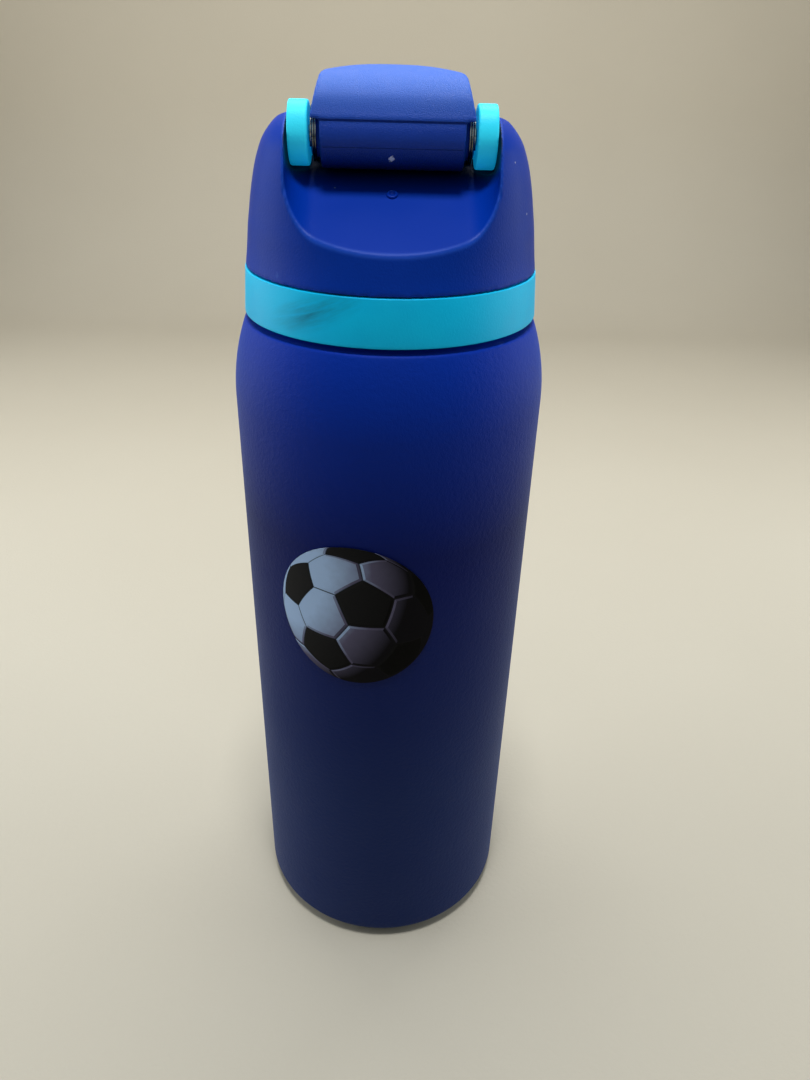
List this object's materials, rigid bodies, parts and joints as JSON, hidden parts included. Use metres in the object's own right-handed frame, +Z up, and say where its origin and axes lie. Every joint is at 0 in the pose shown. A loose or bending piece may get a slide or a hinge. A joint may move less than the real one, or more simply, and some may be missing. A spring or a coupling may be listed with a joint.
{
  "type": "water bottle",
  "caption": "Insulated steel children's water bottle with a screw-on flip-top lid, push button, carry loop, spout and straw.",
  "frame": {"origin": "centre of the bottle's footprint, on the surface it stands on", "axes": "+Z up along the bottle's axis, +Y towards the push button at the front, -Y towards the lid's hinge, +X to the right of a viewer who looks at the hinge side"},
  "size_m": [0.073, 0.0734, 0.2299],
  "materials": {
    "blue_coat": "matte powder coat",
    "blue_plastic": "satin moulded",
    "cyan_plastic": "satin moulded",
    "steel": "brushed stainless",
    "spring_steel": "bright wire",
    "black_rubber": "matte",
    "silicone": "translucent silicone",
    "straw_plastic": "translucent",
    "ball_print": "printed ink"
  },
  "bodies": {
    "bottle": {"outer_shell": "blue_coat", "inner_liner": "steel", "base_cup": "steel", "vacuum_seal_cap": "steel", "getter_cup": "steel", "getter_pill": "spring_steel", "base_ring": "black_rubber", "ball_decal": "ball_print"},
    "seal_ring": {"neck_seal": "silicone"},
    "lid": {"lid_collar": "cyan_plastic", "lid_shell": "blue_plastic", "spout": "blue_plastic", "spout_gasket": "silicone", "vent_valve": "silicone", "hinge_pin": "steel", "hinge_spring_left": "spring_steel", "hinge_spring_right": "spring_steel", "button_spring": "spring_steel"},
    "cover": {"flip_cover": "blue_plastic", "cover_lining": "cyan_plastic", "cover_seal": "silicone"},
    "loop": {"carry_loop": "cyan_plastic"},
    "button": {"push_button": "cyan_plastic"},
    "drinking_straw": {"straw": "straw_plastic"}
  },
  "joints": [
    {"name": "lid_lift", "type": "slide", "parent": "bottle", "child": "seal_ring", "axis": [0, 0, 1], "range_m": [0, 0.008]},
    {"name": "lid_turn", "type": "hinge", "parent": "seal_ring", "child": "lid", "pos_m": [0, 0, 0.18], "axis": [0, 0, 1], "range_deg": [0, 720]},
    {"name": "cover_hinge", "type": "hinge", "parent": "lid", "child": "cover", "pos_m": [0, -0.0125, 0.218], "axis": [1, 0, 0], "range_deg": [0, 130], "deforming": ["hinge_spring_left", "hinge_spring_right"]},
    {"name": "loop_hinge", "type": "hinge", "parent": "lid", "child": "loop", "pos_m": [0, -0.0125, 0.218], "axis": [1, 0, 0], "range_deg": [0, 205]},
    {"name": "button_press", "type": "slide", "parent": "lid", "child": "button", "axis": [0, -1, 0], "range_m": [0, 0.002], "stiffness_N_per_m": 800, "springref_m": -0.002, "deforming": ["button_spring"]},
    {"name": "straw_pull", "type": "slide", "parent": "lid", "child": "drinking_straw", "axis": [0, 0, -1], "range_m": [0, 0.01]}
  ],
  "couplings": [
    {"joint": "lid_lift", "follows": "lid_turn", "m_per_rad": 0.00063662}
  ]
}
